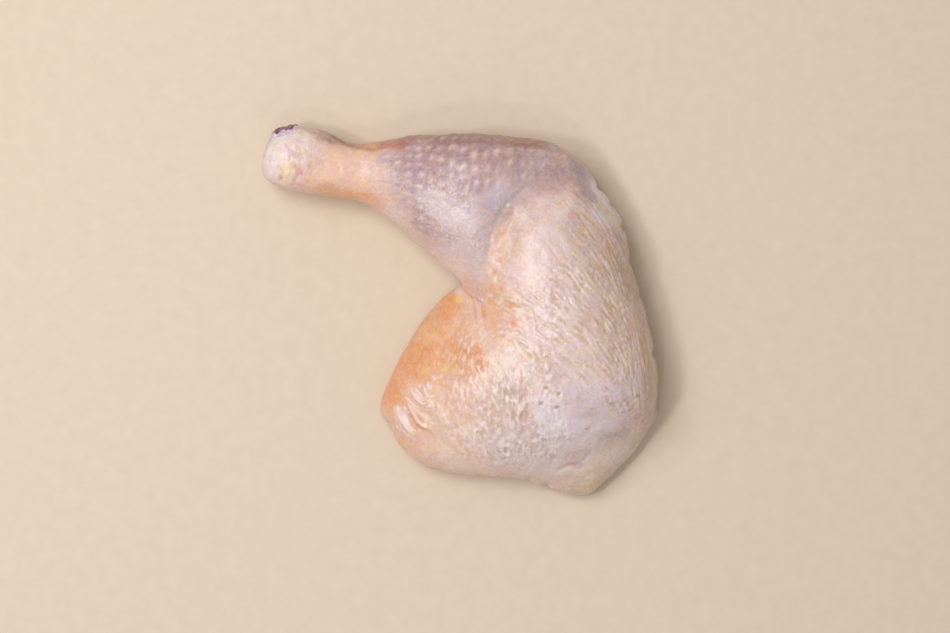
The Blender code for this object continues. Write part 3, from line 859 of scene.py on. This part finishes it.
def skin_shapes(points, normals):
    """Every shape of the skin at each point, as a dict of arrays."""
    x, y, z = points.T
    bend = np.stack([noise(points / BEND_CELL, seed) for seed in BEND_SEEDS], axis=1)
    facing = smooth_step(normals[:, 2], *FACING_RISE)

    def swayed(amount):
        return x + amount * bend[:, 0], y + amount * bend[:, 1]

    zone_places, line_places = swayed(ZONE_SWAY), swayed(LINE_SWAY)
    shapes = {name: zone(name, *zone_places) for name in ZONES}
    gap, _, side = along_route(DRUM_BORDER, *swayed(BORDER_SWAY), BORDER_REACH)
    drum = smooth_step(gap * side, *BORDER_BLEND)
    beyond = (y > DRUM_LOW) & (x < DRUM_RIGHT) | (y > DRUM_HIGH)
    drum = np.where(gap >= FAR_AWAY, beyond, drum)
    shapes["drum"] = drum
    # the band of skin beside the knee crease, on the drumstick
    gap, _, side = along_route(KNEE_CREASE, *zone_places, BESIDE_REACH)
    shapes["beside"] = bell(gap, BESIDE_WIDTH) * smooth_step(gap * side, *BESIDE_EDGE) * drum

    ways = wrinkle_ways(points, normals)
    wavy = points + WRINKLE_SWAY * bend
    shapes["wrinkle"] = streaked(wavy, ways, WRINKLE_CELL, WRINKLE_LENGTH, seed=3)
    # some are cut across
    shapes["wrinkle"] += CUT_STRENGTH * noise(points / CUT_CELL, seed=5)
    shapes["crinkle"] = streaked(wavy, ways, CRINKLE_CELL, CRINKLE_LENGTH, seed=11)
    shapes["streak"] = streaked(wavy, ways, STREAK_CELL, STREAK_LENGTH, seed=15)
    patch = smooth_step(noise(points / PATCH_CELL, seed=34), *PATCH_EDGE)
    shapes["wrinkled"] *= (1 - drum) * (WRINKLED_LEAST + (1 - WRINKLED_LEAST) * patch)
    shapes["crinkled"] *= (1 - drum) * (1 - CRINKLED_LOSS * patch)

    lattice = (drum_place(points) + FOLLICLE_SWAY * bend[:, :2]) / FOLLICLE_SPACING
    gap, own = nearest_spot(lattice * FOLLICLE_SQUEEZE, FOLLICLE_JITTER, seed=21)
    gap *= FOLLICLE_SPACING / FOLLICLE_SIZE
    shapes["follicle"] = (FOLLICLE_LEAST + (1 - FOLLICLE_LEAST) * own) * np.exp(-(gap**2))
    shapes["folliculate"] *= drum
    gap, own = nearest_spot(points / PORE_CELL, PORE_JITTER, seed=41)
    gap *= PORE_CELL / PORE_SIZE
    shapes["pore"] = own * np.exp(-(gap**2)) * shapes["pored"]

    for name, lines in LINES.items():
        shapes[name] = drawn(lines, *line_places) * facing
    for name, spots in SPOTS.items():
        shapes[name] = spotted(spots, *line_places) * facing
    shapes["notch"] = spotted(NOTCHES, x, y)
    # the white and pearl zones, partly painted highlight, are lighter on the tops than on steep sides
    for name in ("white", "pearl_and_sheen"):
        shapes[name] *= STEEP_WHITE + (1 - STEEP_WHITE) * facing
    gap, place, side = along_route(TONGUE_EDGE, *line_places, TONGUE_SEARCH)
    over = smooth_step(gap * side, *TONGUE_LIP) * bell(gap, TONGUE_REACH)
    ends = smooth_step(place, *TONGUE_START) * (1 - smooth_step(place, *TONGUE_END))
    shapes["tongue"] = over * ends * facing
    gap, _, side = along_route(JOINT_BORDER, x, y, JOINT_REACH)
    shapes["bare"] = smooth_step(gap * side, *JOINT_EDGE) * smooth_step(z, *JOINT_LOW)
    shapes["bare"] *= gap < FAR_AWAY
    shapes["uneven"] = layered(points / UNEVEN_CELL, 2, seed=51)
    shapes["ripple"] = layered(points / RIPPLE_CELL, 2, seed=61)
    shapes["grain"] = noise(points / GRAIN_CELL, seed=65)
    return shapes


def skin_relief(points, normals):
    """How far the skin stands out at each point."""
    s = skin_shapes(points, normals)
    height = UNEVEN_HEIGHT * s["uneven"] + RIPPLE_HEIGHT * s["ripple"] + GRAIN_HEIGHT * s["grain"]
    height += WRINKLE_HEIGHT * s["wrinkled"] * np.tanh(s["wrinkle"])
    height += CRINKLE_HEIGHT * s["crinkled"] * np.tanh(s["crinkle"])
    height += GRISTLE_HEIGHT * s["gristly"] * np.tanh(s["crinkle"])
    height += FOLLICLE_HEIGHT * s["folliculate"] * (s["follicle"] - FOLLICLE_SINK)
    height -= PORE_DEPTH * s["pore"] + s["pit"] + s["notch"]
    height += s["bead"] + s["ridge"] - s["crease"] + TONGUE_STEP * s["tongue"]
    height -= JOINT_DRAWN * s["bare"]
    return height * smooth_step(points[:, 2], *CONTACT_FADE)


def skin_tints(s):
    """The share of each colour on the skin, from its shapes."""
    tints = {name: s[name] for name in WHOLE_TINTS}
    for name in CLIPPED_TINTS:
        tints[name] = np.clip(s[name], 0, 1)
    tints["mauve"] = s["mauve"] * (1 - BUMP_CLEAR * s["follicle"] * s["folliculate"])
    tints["crinkled"] = np.maximum(s["crinkled"], GRISTLE_BEADS * s["gristly"])
    tints["satin"] = np.maximum(s["satin"] * s["drum"], PORED_SATIN * s["pored"])
    # the drumstick's bluish skin beside the knee crease, with painted shade on its slope down to the
    # crease
    tints["crease_tint_and_shade"] = smooth_step(s["beside"], *CREASE_TINT_EDGE)
    streaky = np.clip(STREAK_LEAST + s["wrinkled"] + CRINKLE_STREAK * s["crinkled"], 0, 1)
    streaky = streaky * (1 - s["drum"])
    tints["warm_streak"] = streaky * smooth_step(s["streak"], *STREAK_EDGE)
    tints["cool_streak"] = streaky * smooth_step(-s["streak"], *STREAK_EDGE)
    # olive in the wrinkles' hollows, partly painted shade there
    tints["valley_tint_and_shade"] = s["wrinkled"] * smooth_step(-s["wrinkle"], *VALLEY_SHADE_EDGE)
    # the tops of wrinkles and crinkles get painted highlight, and the follicles their paler skin
    tints["pale"] = np.maximum.reduce(
        [
            s["wrinkled"] * smooth_step(s["wrinkle"], *WRINKLE_TOP),
            CRINKLE_PALE * s["crinkled"] * smooth_step(s["crinkle"], *CRINKLE_TOP),
            BUMP_PALE * s["follicle"] * s["folliculate"],
        ]
    )
    # painted highlight along the ridges and on the beads
    tints["sheen"] = np.clip(RIDGE_SHEEN * s["ridge"] + BEAD_SHEEN * s["bead"], 0, 1)
    # the pores' own red, with painted shade in the pits and creases
    dark = PORE_DARK * s["pore"] + PIT_DARK * s["pit"] + CREASE_SHADE * s["crease"]
    tints["pit"] = np.clip(dark, 0, 1)
    return tints


def vertex_values(mesh, kind="co"):
    """The mesh's vertex coordinates, or its vertex normals with the kind "normal"."""
    found = np.empty(len(mesh.vertices) * 3)
    mesh.vertices.foreach_get(kind, found)
    return found.reshape(-1, 3)


def places_and_normals(made):
    """An object's vertices in millimetres, and their normals."""
    return vertex_values(made.data) / MM, vertex_values(made.data, "normal")


def move_vertices(mesh, points):
    """Puts the mesh's vertices at the points."""
    mesh.vertices.foreach_set("co", points.ravel())
    mesh.update()


def bake(made):
    """Applies the object's modifiers to its mesh."""
    graph = bpy.context.evaluated_depsgraph_get()
    mesh = bpy.data.meshes.new_from_object(made.evaluated_get(graph))
    mesh.materials.clear()
    made.modifiers.clear()
    made.data = mesh


def copy_of_node(node, name, grow=0.0):
    """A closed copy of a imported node's mesh, grown along its normals."""
    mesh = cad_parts[node].data.copy()
    shape = bmesh.new()
    shape.from_mesh(mesh)
    bmesh.ops.remove_doubles(shape, verts=shape.verts, dist=MERGE * MM)
    for vertex in shape.verts:
        vertex.co += vertex.normal * grow * MM
    shape.to_mesh(mesh)
    shape.free()
    made = bpy.data.objects.new(name, mesh)
    bpy.context.scene.collection.objects.link(made)
    made.data.materials.clear()
    return made


def even_out(made, voxel, rounds):
    """Gives the mesh even faces and softens its facets."""
    remesh = made.modifiers.new("remesh", "REMESH")
    remesh.mode = "VOXEL"
    remesh.voxel_size = voxel * MM
    smooth = made.modifiers.new("smooth", "SMOOTH")
    smooth.factor = SMOOTH_FACTOR
    smooth.iterations = rounds
    bake(made)


def divide(made):
    """Splits each face into four, on a smooth surface."""
    made.modifiers.new("divide", "SUBSURF").levels = 1
    bake(made)


def ease(mesh, share, rounds):
    """Softens the mesh by each vertex's share, from 0 to 1."""
    edges = np.empty(len(mesh.edges) * 2, int)
    mesh.edges.foreach_get("vertices", edges)
    one, two = edges.reshape(-1, 2).T
    points = vertex_values(mesh)
    count = np.bincount(np.concatenate([one, two]), minlength=len(points))[:, None]
    for _ in range(rounds):
        around = np.zeros_like(points)
        for axis in range(3):
            around[:, axis] = np.bincount(one, points[two, axis], len(points))
            around[:, axis] += np.bincount(two, points[one, axis], len(points))
        points += SMOOTH_FACTOR * share[:, None] * (around / count - points)
    move_vertices(mesh, points)


def thin_out(made, triangles):
    """Brings the mesh down to about this many triangles."""
    made.data.calc_loop_triangles()
    thin = made.modifiers.new("thin", "DECIMATE")
    thin.ratio = min(1.0, triangles / len(made.data.loop_triangles))
    thin.use_collapse_triangulate = True
    bake(made)


def store(mesh, name, values):
    """Keeps a value for each vertex, for the material."""
    attribute = mesh.attributes.new(name, "FLOAT", "POINT")
    attribute.data.foreach_set("value", np.ascontiguousarray(values, np.float32))


def skin_piece():
    """The skin of the whole leg, closed under the bare joint."""
    made = copy_of_node("leg_quarter", "skin")
    filling = copy_of_node("hock_joint", "filling", SOCKET_FILL)
    union = made.modifiers.new("union", "BOOLEAN")
    union.operation = "UNION"
    union.solver = "MANIFOLD"
    union.object = filling
    bake(made)
    bpy.data.objects.remove(filling)
    even_out(made, SKIN_VOXEL, SKIN_SMOOTHING)
    points, normals = places_and_normals(made)
    share = np.zeros(len(points))
    for route, near, far in EASED:
        gap, _, _ = along_route(route, points[:, 0], points[:, 1], far)
        share = np.maximum(share, 1 - smooth_step(gap, near, far))
    ease(made.data, share * smooth_step(normals[:, 2], *EASED_RISE), EASE_ROUNDS)
    divide(made)
    points, normals = places_and_normals(made)
    height = skin_relief(points, normals) + SHRINKAGE
    points += normals * height[:, None]
    points[:, 2] = np.maximum(points[:, 2], 0)
    move_vertices(made.data, points * MM)
    thin_out(made, SKIN_TRIANGLES)
    for name, values in skin_tints(skin_shapes(*places_and_normals(made))).items():
        store(made.data, name, values)
    made.data.shade_smooth()
    return made


def joint_piece():
    """The bare end of the hock joint."""
    made = copy_of_node("hock_joint", "hock_joint_piece")
    even_out(made, JOINT_VOXEL, JOINT_SMOOTHING)
    divide(made)
    points, normals = places_and_normals(made)
    height = JOINT_GROWTH + LUMP_HEIGHT * layered(points / LUMP_CELL, 2, seed=71)
    points += normals * height[:, None]
    move_vertices(made.data, points * MM)
    # blood darkens the rim, and white cartilage shows next to the skin
    gap, _, side = along_route(JOINT_BORDER, points[:, 0], points[:, 1], JOINT_REACH)
    outward = gap * side + CLOT_SWAY * layered(points / CLOT_CELL, 2, seed=72)
    store(made.data, "clot", smooth_step(outward, *CLOT_EDGE))
    made.data.shade_smooth()
    return made


class Nodes:
    """Builds a material's nodes."""

    def __init__(self, name):
        self.material = bpy.data.materials.new(name)
        self.material.use_nodes = True
        self.tree = self.material.node_tree
        self.shader = self.tree.nodes["Principled BSDF"]
        self.place = self.add("ShaderNodeTexCoord").outputs["Object"]

    def add(self, kind, inputs=(), **settings):
        """A new node, with its inputs by name or number."""
        node = self.tree.nodes.new(kind)
        for key, value in settings.items():
            setattr(node, key, value)
        for key, value in dict(inputs).items():
            self.give(node.inputs[key], value)
        return node

    def give(self, socket, value):
        """Links an input to another node's output, or sets its value."""
        if isinstance(value, bpy.types.NodeSocket):
            self.tree.links.new(value, socket)
        else:
            socket.default_value = value

    def dressed(self, inputs):
        """Gives the shader its inputs, and hands out the material."""
        for name, value in inputs.items():
            self.give(self.shader.inputs[name], value)
        return self.material

    def noise(self, size, detail=2.0, rough=0.5, warp=0.0, stretch=(1, 1, 1)):
        """Noise of a size in millimetres."""
        place = self.add("ShaderNodeVectorMath", {0: self.place, 1: stretch}, operation="MULTIPLY")
        inputs = {
            "Vector": place.outputs[0],
            "Scale": 1 / (size * MM),
            "Detail": detail,
            "Roughness": rough,
            "Distortion": warp,
        }
        return self.add("ShaderNodeTexNoise", inputs).outputs["Fac"]

    def attribute(self, name):
        """A value that the mesh has at each vertex."""
        return self.add("ShaderNodeAttribute", attribute_name=name).outputs["Fac"]

    def times(self, one, two, clamp=False):
        """The product of two values."""
        inputs = {0: one, 1: two}
        return self.add("ShaderNodeMath", inputs, operation="MULTIPLY", use_clamp=clamp).outputs[0]

    def ramp(self, value, low, high, to_low=0.0, to_high=1.0):
        """The value brought from one range to another."""
        inputs = {"Value": value, "From Min": low, "From Max": high}
        inputs.update({"To Min": to_low, "To Max": to_high})
        return self.add("ShaderNodeMapRange", inputs).outputs["Result"]

    def mix(self, share, base, over, blend="MIX"):
        """One colour laid over another."""
        inputs = {0: share, 6: base, 7: over}
        settings = {"data_type": "RGBA", "blend_type": blend, "clamp_factor": True}
        return self.add("ShaderNodeMix", inputs, **settings).outputs[2]

    def bump(self, height, strength, distance, normal=None):
        """A normal bent by the height, on top of another normal."""
        inputs = {"Height": height, "Strength": strength, "Distance": distance * MM}
        if normal:
            inputs["Normal"] = normal
        return self.add("ShaderNodeBump", inputs).outputs["Normal"]


def skin_colour(made, broad, mottle):
    """The skin's zones and marks, some of them painted shade and highlight, with small shifts of
    tone.
    """
    colour = made.mix(made.ramp(broad, *MIDDLE), srgb(CREAM), srgb(ROSE))
    patchy = made.ramp(mottle, *WIDE, *PATCHY_SHARE)
    for name, tint, strength in LAYERS:
        share = made.times(made.attribute(name), strength)
        colour = made.mix(made.times(share, patchy, clamp=True), colour, srgb(tint))
    deep = made.times(made.attribute("orange"), made.ramp(broad, *DEEP_RANGE), clamp=True)
    colour = made.mix(made.times(deep, DEEP_SHARE), colour, srgb(DEEP_ORANGE))
    for name, tint, strength in MARKS:
        share = made.times(made.attribute(name), strength)
        if name == "blood":
            share = made.times(share, patchy, clamp=True)
        colour = made.mix(share, colour, srgb(tint))
    tone = made.ramp(made.noise(size=3.6, detail=3.0, rough=0.6, warp=0.3), *MIDDLE)
    colour = made.mix(1.0, colour, made.mix(tone, COOL_TONE, WARM_TONE), "OVERLAY")
    grain = made.ramp(made.noise(size=1.2, detail=2.0, rough=0.6), *WIDE)
    return made.mix(1.0, colour, made.mix(grain, DARK_TONE, LIGHT_TONE), "OVERLAY")


def skin_material():
    """Moist skin."""
    made = Nodes("raw_skin")
    broad = made.noise(size=11.0, detail=3.0, rough=0.55, warp=0.4)
    mottle = made.noise(size=3.2, detail=3.0, rough=0.6, warp=0.3)
    fine = made.noise(size=1.1)
    colour = skin_colour(made, broad, mottle)
    # soft beads, drawn out across the leg, with painted shade in their hollows and painted glints on
    # their tops
    beads = made.noise(size=1.7, detail=1.0, rough=0.4, warp=0.2, stretch=(1.0, 0.5, 0.8))
    crinkled = made.attribute("crinkled")
    hollow_shade = made.times(made.ramp(beads, *HOLLOW_SHADE_RAMP), crinkled)
    colour = made.mix(hollow_shade, colour, srgb(TAN))
    glint = made.times(made.ramp(beads, *GLINT_RAMP), crinkled)
    colour = made.mix(glint, colour, srgb(SHEEN))
    grains = made.noise(size=1.15, detail=1.0, rough=0.4)
    satin = made.attribute("satin")
    # painted glints in fine grains on the satin
    glint = made.times(made.ramp(grains, *SATIN_RAMP), satin)
    colour = made.mix(glint, colour, srgb(SHEEN))
    relief = made.bump(fine, strength=0.2, distance=0.3)
    relief = made.bump(mottle, strength=0.4, distance=0.5, normal=relief)
    relief = made.bump(made.times(beads, crinkled), strength=1.0, distance=1.0, normal=relief)
    relief = made.bump(made.times(grains, satin), strength=0.7, distance=0.32, normal=relief)
    # the film of moisture on top is less even than the skin
    film = made.noise(size=1.6, detail=3.0, rough=0.6, stretch=(1.0, 0.7, 0.8))
    moist = made.bump(film, strength=0.45, distance=0.6, normal=relief)
    film = made.noise(size=0.9, detail=1.0, rough=0.5)
    moist = made.bump(film, strength=0.6, distance=0.15, normal=moist)
    return made.dressed(
        {
            "Base Color": colour,
            "Roughness": made.ramp(mottle, *WIDE, *SKIN_ROUGHNESS),
            "Subsurface Weight": 0.25,
            "Subsurface Radius": (1.0, 0.45, 0.28),
            "Subsurface Scale": 2.2 * MM,
            "Specular IOR Level": 0.4,
            "Coat Weight": made.ramp(made.attribute("dry"), 0.0, 1.0, *COAT_WEIGHT),
            "Coat Roughness": 0.12,
            "Normal": relief,
            "Coat Normal": moist,
        }
    )


def joint_material():
    """Wet cartilage with dark blood on it."""
    made = Nodes("wet_cartilage")
    mottle = made.noise(size=1.6, detail=3.0, rough=0.6, warp=0.5)
    pale = made.mix(made.ramp(mottle, *NARROW), srgb(CARTILAGE), srgb(CARTILAGE_SHADE))
    dark = made.mix(made.ramp(mottle, *MIDDLE), srgb(CLOT), srgb(CLOT_LIGHT))
    return made.dressed(
        {
            "Base Color": made.mix(made.attribute("clot"), pale, dark),
            "Roughness": made.ramp(mottle, *WIDE, *JOINT_ROUGHNESS),
            "Subsurface Weight": 0.2,
            "Subsurface Radius": (1.0, 0.4, 0.4),
            "Subsurface Scale": 1.2 * MM,
            "Coat Weight": 0.5,
            "Coat Roughness": 0.08,
            "Normal": made.bump(mottle, strength=0.5, distance=0.4),
        }
    )


def floor_material():
    """A plain pale floor."""
    made = Nodes("pale_floor")
    grain = made.noise(size=6.0, detail=4.0, rough=0.6)
    shade = made.mix(made.ramp(grain, *WIDE), srgb(FLOOR), srgb(FLOOR_SHADE))
    return made.dressed({"Base Color": shade, "Roughness": FLOOR_ROUGHNESS})


def area_light(name, place, size, power, colour):
    """A square light aimed at the leg."""
    light = bpy.data.lights.new(name, "AREA")
    light.size = size
    light.energy = power
    light.color = colour
    made = bpy.data.objects.new(name, light)
    bpy.context.scene.collection.objects.link(made)
    made.location = place
    made.rotation_euler = (LIGHT_AIM - Vector(place)).to_track_quat("-Z", "Y").to_euler()


def set_stage():
    """The floor, the light and the camera."""
    bpy.ops.mesh.primitive_plane_add(size=FLOOR_SIZE, location=(0, 0, 0))
    floor = bpy.context.object
    floor.name = "floor"
    floor.data.materials.append(floor_material())
    world = bpy.data.worlds.new("studio")
    bpy.context.scene.world = world
    world.use_nodes = True
    background = world.node_tree.nodes["Background"]
    background.inputs["Color"].default_value = WORLD_COLOUR
    background.inputs["Strength"].default_value = WORLD_STRENGTH
    for light in LIGHTS:
        area_light(*light)
    camera = bpy.data.cameras.new("camera")
    camera.sensor_width = SENSOR_WIDTH
    camera.lens = SENSOR_WIDTH * CAMERA_DISTANCE / CAMERA_VIEW
    made = bpy.data.objects.new("camera", camera)
    bpy.context.scene.collection.objects.link(made)
    made.location = CAMERA_PLACE
    bpy.context.scene.camera = made
    bpy.context.scene.view_settings.view_transform = "Standard"


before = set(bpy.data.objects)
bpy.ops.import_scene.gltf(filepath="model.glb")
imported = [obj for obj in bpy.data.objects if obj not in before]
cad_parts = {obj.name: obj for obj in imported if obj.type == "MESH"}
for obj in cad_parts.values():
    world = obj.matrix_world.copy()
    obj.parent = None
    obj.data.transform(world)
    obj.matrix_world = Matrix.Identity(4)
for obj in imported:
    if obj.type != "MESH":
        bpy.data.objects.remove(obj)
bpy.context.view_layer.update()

skin = skin_piece()
skin.data.materials.append(skin_material())
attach(skin, "root")
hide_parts("leg_quarter")

joint = joint_piece()
joint.data.materials.append(joint_material())
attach(joint, "root")
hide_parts("hock_joint")

set_stage()
